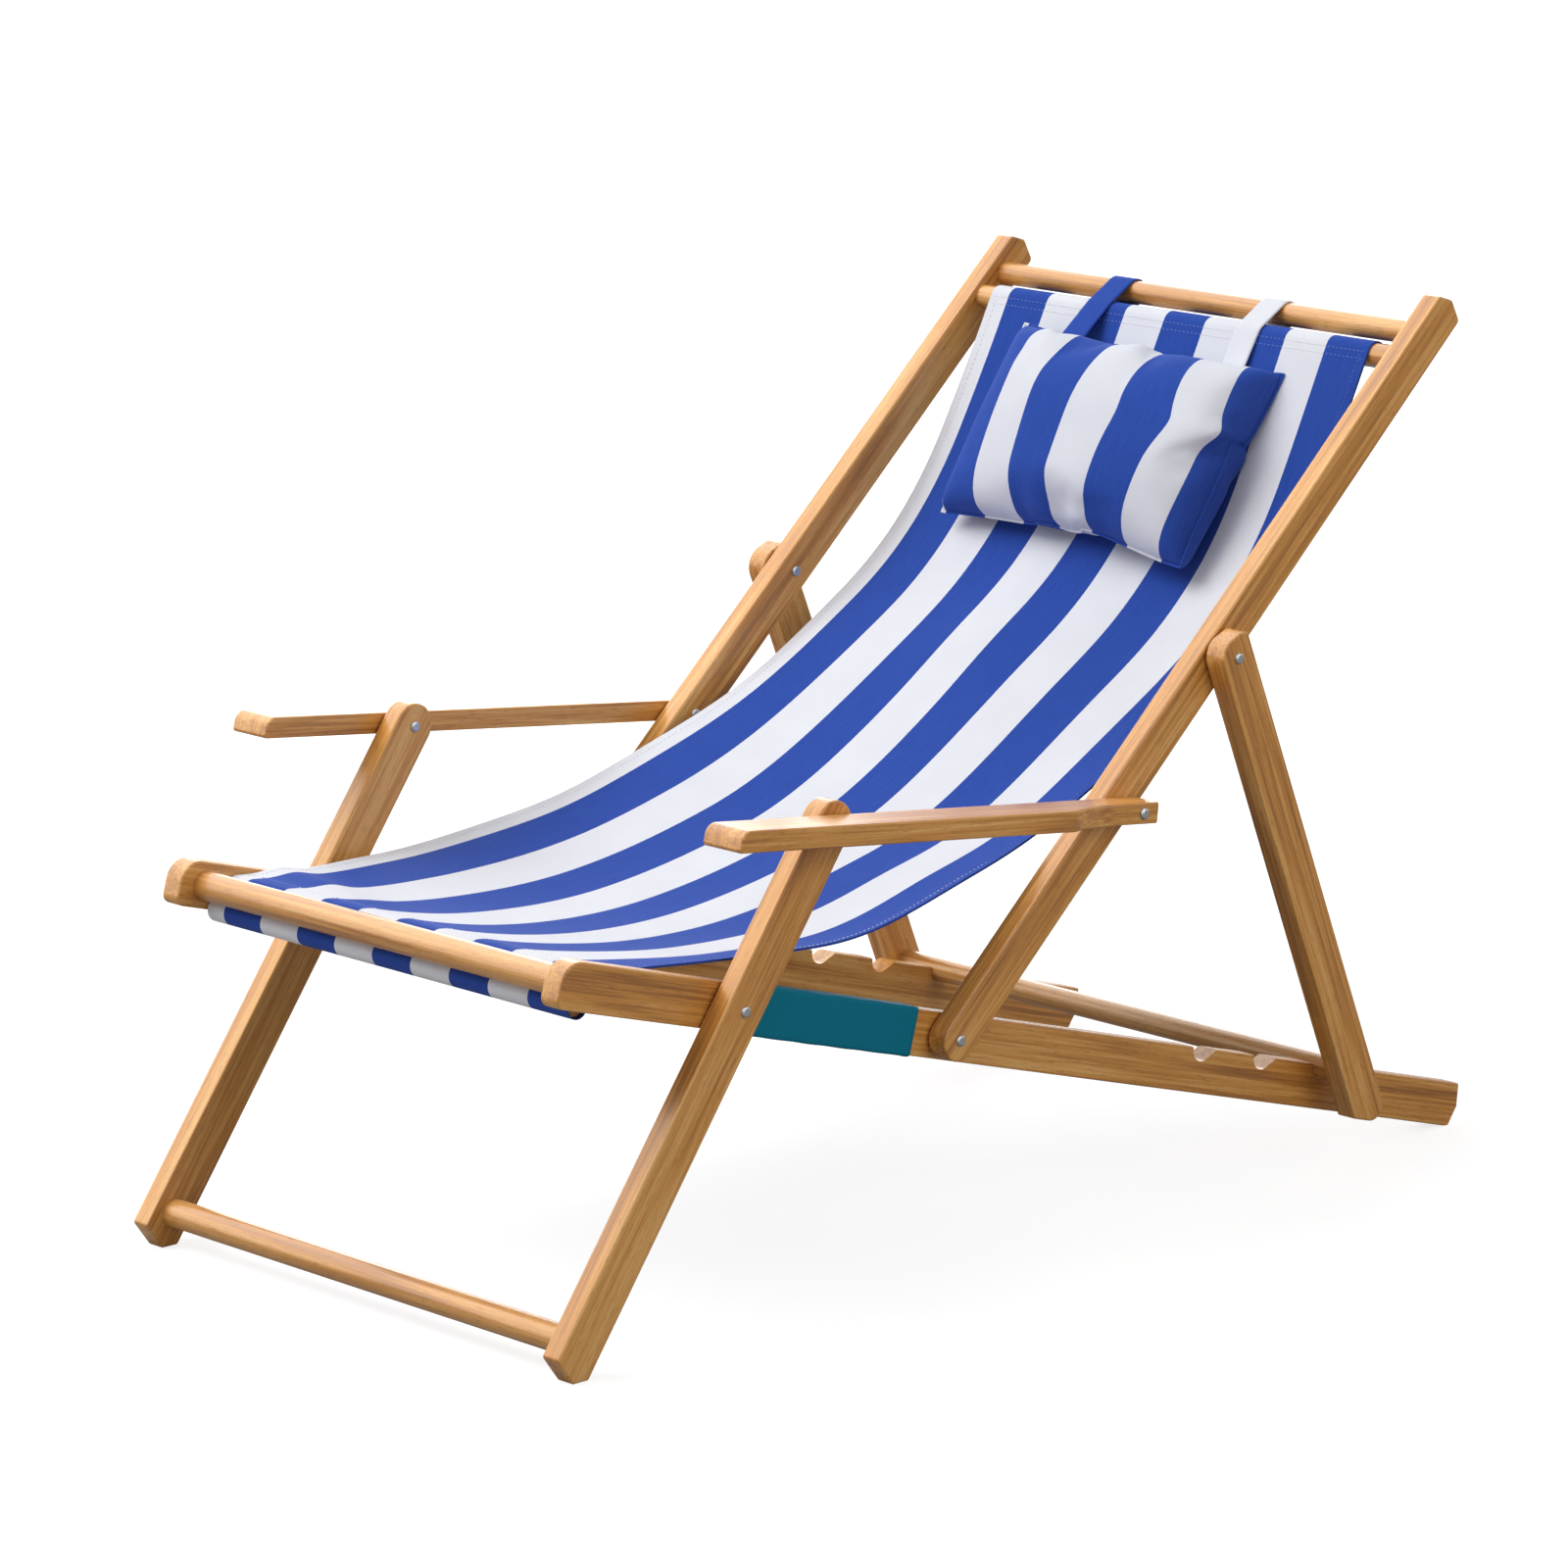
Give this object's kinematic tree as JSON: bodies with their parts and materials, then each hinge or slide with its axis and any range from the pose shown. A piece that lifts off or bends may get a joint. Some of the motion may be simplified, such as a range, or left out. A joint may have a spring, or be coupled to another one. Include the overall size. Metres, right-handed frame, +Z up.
{
  "type": "folding beach chair",
  "caption": "Folding timber beach chair with a striped hanging cloth seat, flat armrests, a notched prop that sets the back, and a strapped head pillow.",
  "frame": {"origin": "middle of the footprint, on the floor", "axes": "+Z up, +Y to the rear, +X to the sitter's left"},
  "size_m": [0.656, 1.1524, 0.7913],
  "materials": {
    "timber": "satin lacquered honey-coloured hardwood",
    "turned_bars": "satin lacquered turned hardwood",
    "striped_canvas": "plain-woven canvas in blue and white stripes",
    "white_webbing": "white canvas strap",
    "blue_webbing": "blue canvas strap",
    "teal_wrap": "matte teal cloth wrap",
    "hardware": "domed bolts, nuts and washers"
  },
  "bodies": {
    "seat_frame": {"seat_rail_left": "timber", "seat_rail_right": "timber", "front_crossbar": "turned_bars", "front_sling_bar": "turned_bars", "front_dowel": "turned_bars", "rail_wrap": "teal_wrap", "sling": "striped_canvas"},
    "back_frame": {"back_rail_left": "timber", "back_rail_right": "timber", "top_crossbar": "turned_bars", "top_sling_bar": "turned_bars", "top_dowel": "turned_bars", "back_pivot_bolts": "hardware", "back_pivot_nuts": "hardware", "back_pivot_washers": "hardware", "arm_rear_bolts": "hardware", "arm_rear_nuts": "hardware", "arm_rear_washers": "hardware", "pillow": "striped_canvas", "pillow_strap_left": "white_webbing", "pillow_strap_right": "blue_webbing"},
    "front_legs": {"front_leg_left": "timber", "front_leg_right": "timber", "leg_stretcher": "turned_bars", "leg_pivot_bolts": "hardware", "leg_pivot_nuts": "hardware", "leg_pivot_washers": "hardware"},
    "armrests": {"armrest_left": "timber", "armrest_right": "timber", "arm_front_bolts": "hardware", "arm_front_washers": "hardware"},
    "prop_frame": {"prop_left": "timber", "prop_right": "timber", "prop_crossbar": "turned_bars", "prop_pivot_bolts": "hardware", "prop_pivot_nuts": "hardware", "prop_pivot_washers": "hardware"}
  },
  "joints": [
    {"name": "back_recline", "type": "hinge", "parent": "seat_frame", "child": "back_frame", "pos_m": [0, -0.11128, 0.20964], "axis": [1, 0, 0], "range_deg": [0, 16], "deforming": ["sling"]},
    {"name": "leg_fold", "type": "hinge", "parent": "seat_frame", "child": "front_legs", "pos_m": [0, -0.36539, 0.28125], "axis": [1, 0, 0], "range_deg": [0, 21]},
    {"name": "arm_fold", "type": "hinge", "parent": "front_legs", "child": "armrests", "pos_m": [0, -0.26203, 0.42433], "axis": [1, 0, 0], "range_deg": [-18, 0]},
    {"name": "prop_swing", "type": "hinge", "parent": "back_frame", "child": "prop_frame", "pos_m": [0, 0.20994, 0.50296], "axis": [1, 0, 0], "range_deg": [0, 110]}
  ],
  "couplings": [
    {"joint": "leg_fold", "follows": "back_recline", "ratio": 1.292},
    {"joint": "arm_fold", "follows": "back_recline", "ratio": -1.101}
  ]
}
